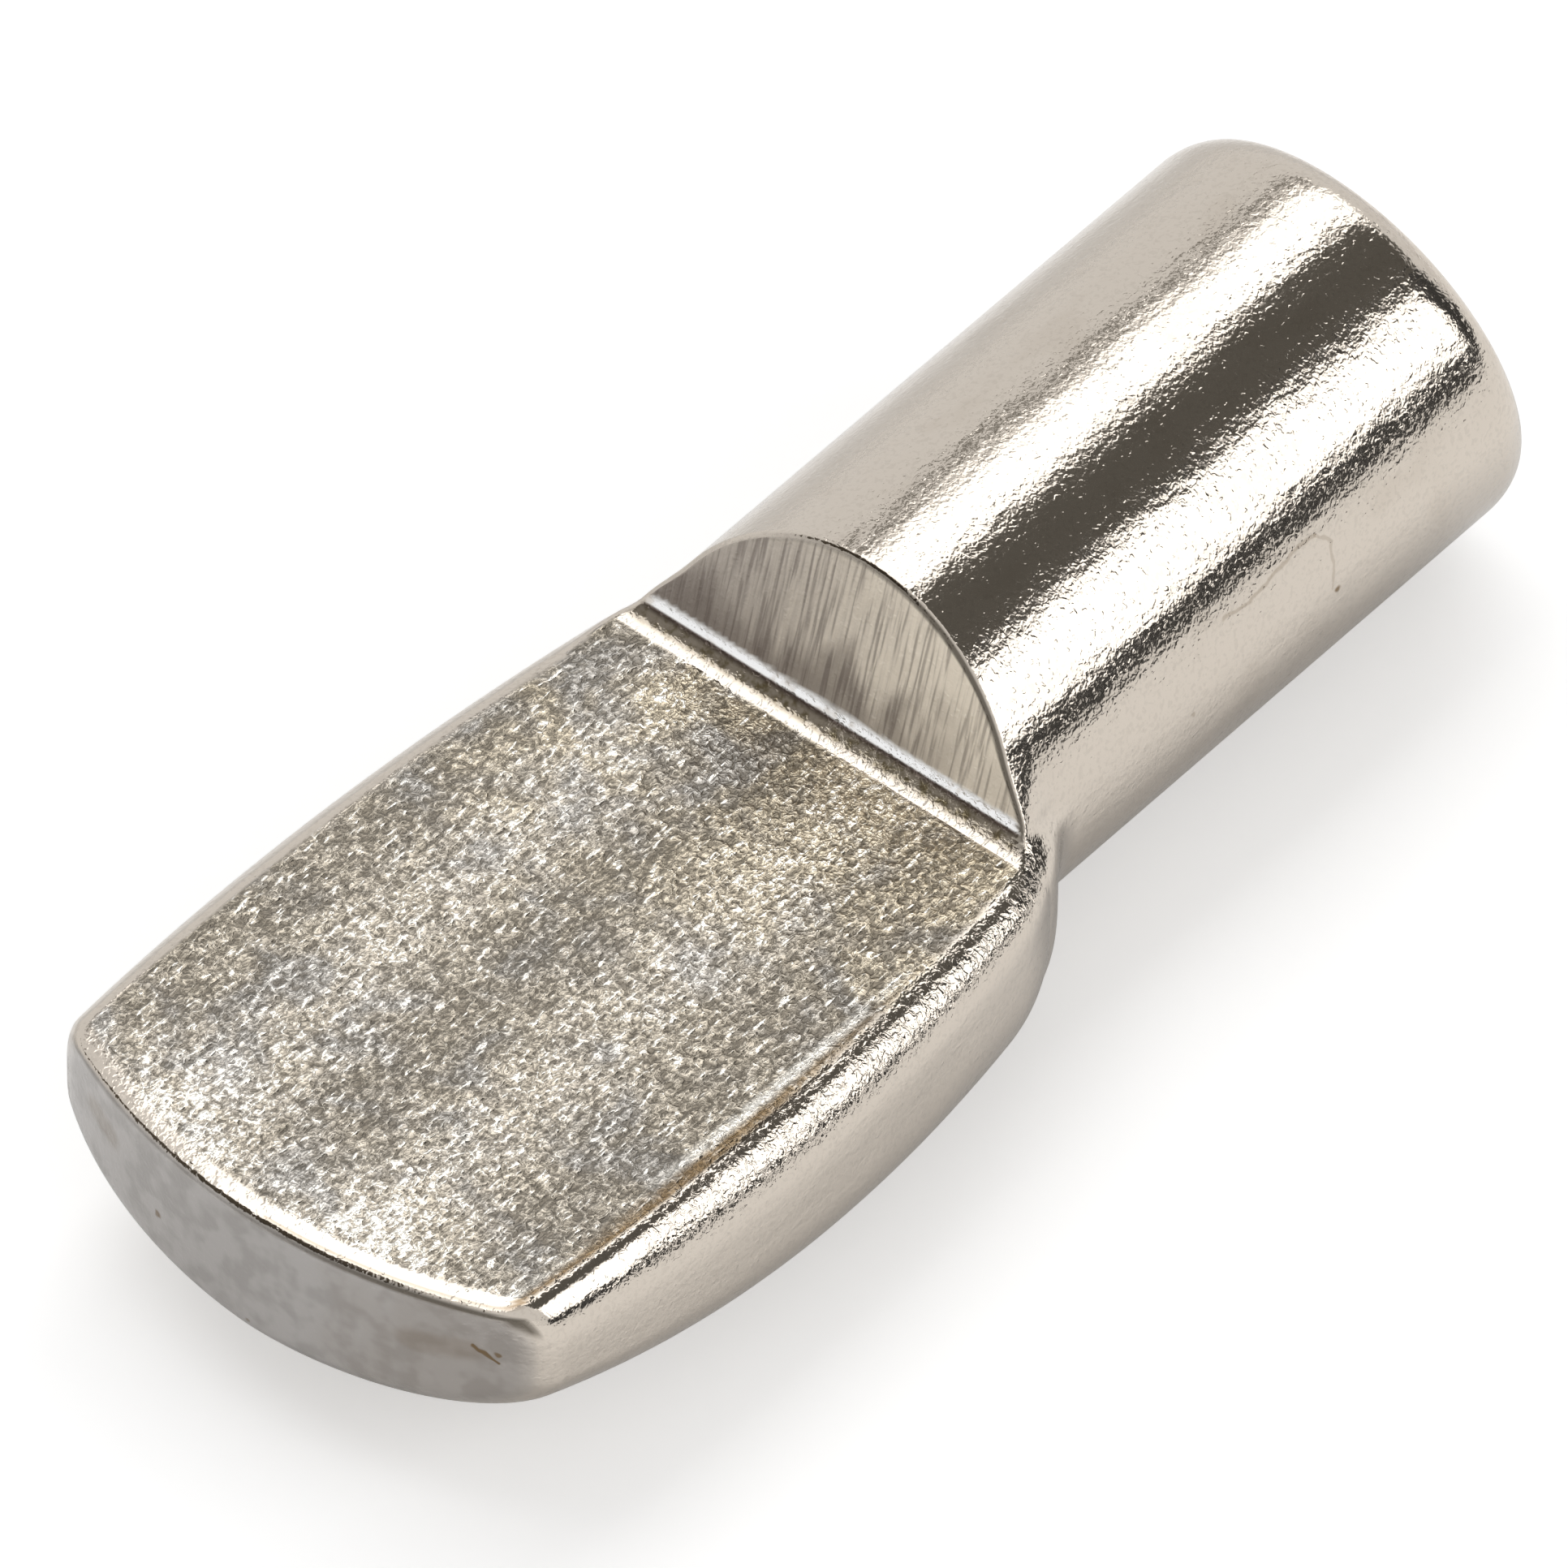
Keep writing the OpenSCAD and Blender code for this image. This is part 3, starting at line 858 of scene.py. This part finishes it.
studio = {
    "floorZ": -2.6,                     # millimetres
    "floorSize": 1600,
    "floorColour": (0.8, 0.8, 0.8),
    "floorRoughness": 0.9,
    "floorWhite": 0.37,                 # added where the eye or a mirror sees the floor
    "pinMiddle": -1,                    # Y of the middle of the pin's long middle line,
    "pinHalf": 8,                       # which reaches this far either way
    "floorShade": (2.4, 6.0),           # a painted shadow of the pin: a mirror misses it this near that line, and has it all from here
    "spoonShade": (1, -2, 0, 1.2),      # between the first two, on Y, that distance grows by up to the last
    "mirrorSide": (-14, -4, 0, 0.75),   # painted shade on the left: between the first two, on X, a mirror's share of it grows so
    "air": (0.88, 0.88, 0.88),
    "sheetHeight": 300,
    "overhead": {                       # colour, then its reach on X and on Y, as shares of its height
        "overheadSoftbox": ((2.15, 2.15, 2.15), (-0.64, -0.09), (-0.4, 1.6)),
        "overheadCard": ((0.12, 0.115, 0.105), (-0.05, 0.72), (0.1, 1.8)),
        "seamCard": ((0.15, 0.14, 0.12), (-0.99, -0.83), (0.2, 1.6)),
        "frontCard": ((0.1, 0.085, 0.065), (-1.6, -0.2), (-2.0, -0.42)),
    },
    "right": {                          # colour, distance, then its reach on Y and on Z, as shares of that
        "rightSoftbox": ((2.15, 2.15, 2.15), 300, (0.2, 1.1), (0.19, 1.13)),
        "farCard": ((0.05, 0.05, 0.05), 301, (0.9, 2.8), (-0.1, 1.5)),
        "lowCard": ((0.04, 0.04, 0.04), 40, (-0.2, 2.2), (-0.1, 0.18)),
    },
}


def metres(lengths):
    return [length * millimetre for length in lengths]


def sheetObject(name, corners, material, onlyReflected=False):
    mesh = bpy.data.meshes.new(name)
    mesh.from_pydata([metres(corner) for corner in corners], [], [list(range(len(corners)))])
    sheet = bpy.data.objects.new(name, mesh)
    sheet.data.materials.append(material)
    sheet.visible_camera = not onlyReflected
    bpy.context.scene.collection.objects.link(sheet)


def glowMaterial(name, colour):
    n = Nodes(name)
    n.tree.nodes.remove(n.shader)
    glow = n.add("Emission")
    glow.inputs["Color"].default_value = (*colour, 1)
    n.tree.links.new(glow.outputs[0], n.tree.nodes["Material Output"].inputs["Surface"])
    return n.material


def floorMaterial():
    # matt and pale; the eye, metal and glass see it whiter, and it keeps the pin's shadow; in metal and
    # glass that added white carries a painted shadow of the pin and painted shade on its left
    n = Nodes("paleFloor")
    n.shader.inputs["Base Color"].default_value = (*studio["floorColour"], 1)
    n.shader.inputs["Roughness"].default_value = studio["floorRoughness"]
    place = n.add("SeparateXYZ")
    n.feed(place.inputs[0], n.add("TexCoord").outputs["Object"])
    x, y = place.outputs[:2]
    # how far a spot is from the pin's middle line, in metres as all that follows
    past = n.math("ABSOLUTE", n.plus(y, -studio["pinMiddle"] * millimetre))
    past = n.math("MAXIMUM", n.math("SUBTRACT", past, studio["pinHalf"] * millimetre), 0.0)
    away = n.math("SQRT", n.plus(n.math("POWER", past, 2.0), n.math("POWER", x, 2.0)))
    away = n.math("SUBTRACT", away, n.stretch(y, *metres(studio["spoonShade"])))
    left, right, none, most = studio["mirrorSide"]
    # what mirrors see of the added white fades out near the pin, a painted shadow of it, and is dimmer on
    # its left, painted shade
    mirrored = n.times(n.stretch(away, *metres(studio["floorShade"])),
                       n.stretch(x, *metres((left, right)), none, most))
    path = n.add("LightPath")
    seen = n.math("MAXIMUM", path.outputs["Is Glossy Ray"], path.outputs["Is Transmission Ray"])
    seen = n.math("MAXIMUM", n.times(seen, mirrored), path.outputs["Is Camera Ray"])
    n.shader.inputs["Emission Color"].default_value = (1, 1, 1, 1)
    n.feed(n.shader.inputs["Emission Strength"], n.times(seen, studio["floorWhite"]))
    return n.material


print("studio: laying the floor and hanging the sheets of light")
half, floorZ = studio["floorSize"] / 2, studio["floorZ"]
floorCorners = [(-half, -half, floorZ), (half, -half, floorZ), (half, half, floorZ), (-half, half, floorZ)]
sheetObject("floor", floorCorners, floorMaterial())
for name, (colour, (x0, x1), (y0, y1)) in studio["overhead"].items():
    d = studio["sheetHeight"]
    sheetObject(name, [(x0 * d, y0 * d, d), (x0 * d, y1 * d, d), (x1 * d, y1 * d, d), (x1 * d, y0 * d, d)],
                glowMaterial(name, colour), True)
for name, (colour, d, (y0, y1), (z0, z1)) in studio["right"].items():
    sheetObject(name, [(d, y0 * d, z0 * d), (d, y1 * d, z0 * d), (d, y1 * d, z1 * d), (d, y0 * d, z1 * d)],
                glowMaterial(name, colour), True)

world = bpy.data.worlds.new("studioAir")
world.use_nodes = True
air = world.node_tree.nodes["Background"]
air.inputs["Color"].default_value = (*studio["air"], 1)
air.inputs["Strength"].default_value = 1
bpy.context.scene.world = world


# a long lens looks down on the pin from far off
view = {
    "distance": 334.8,                  # millimetres from the foot of the shoulder
    "focalPixels": 39883,               # how long the lens is, in pixels of the frame
    "frameSide": 1932,
    "right": 0.4735,                    # millimetres that the stem's axis, over the foot, lies right of
    "up": 0.2426,                       # the frame's middle, and above it
    "bearing": 40.52,                   # degrees that the stem's axis climbs in the frame
    "tilt": 58.54,                      # degrees between that axis and the line of sight
    "turn": 31.07,                      # degrees that the pin is rolled about that axis
    "sensorWidth": 36,                  # millimetres
    "clip": (10, 5000),                 # nearest and furthest that is drawn, in millimetres
}


def placeCamera():
    bearing, tilt, turn = (radians(view[k]) for k in ("bearing", "tilt", "turn"))
    # the pin's X, Y and Z as the camera sees them: right, up and away
    climb = Vector((cos(bearing), sin(bearing), 0))
    across = Vector((sin(bearing), -cos(bearing), 0))
    away = Vector((0, 0, 1))
    pinY = sin(tilt) * climb + cos(tilt) * away
    facing = cos(tilt) * climb - sin(tilt) * away
    pinX = cos(turn) * across + sin(turn) * facing
    pinZ = -sin(turn) * across + cos(turn) * facing
    right, up, forward = (Vector((pinX[k], pinY[k], pinZ[k])) for k in range(3))
    foot = Vector((0, pin["footY"], 0))
    place = foot - view["right"] * right - view["up"] * up - view["distance"] * forward
    camera = bpy.data.objects.new("camera", bpy.data.cameras.new("camera"))
    turned = Matrix((right, up, -forward)).transposed().to_4x4()
    camera.matrix_world = Matrix.Translation(place * millimetre) @ turned
    camera.data.sensor_width = view["sensorWidth"]
    camera.data.lens = view["sensorWidth"] * view["focalPixels"] / view["frameSide"]
    camera.data.clip_start, camera.data.clip_end = metres(view["clip"])
    bpy.context.scene.collection.objects.link(camera)
    bpy.context.scene.camera = camera


print("camera: placing it")
placeCamera()
bpy.context.scene.view_settings.view_transform = "Standard"
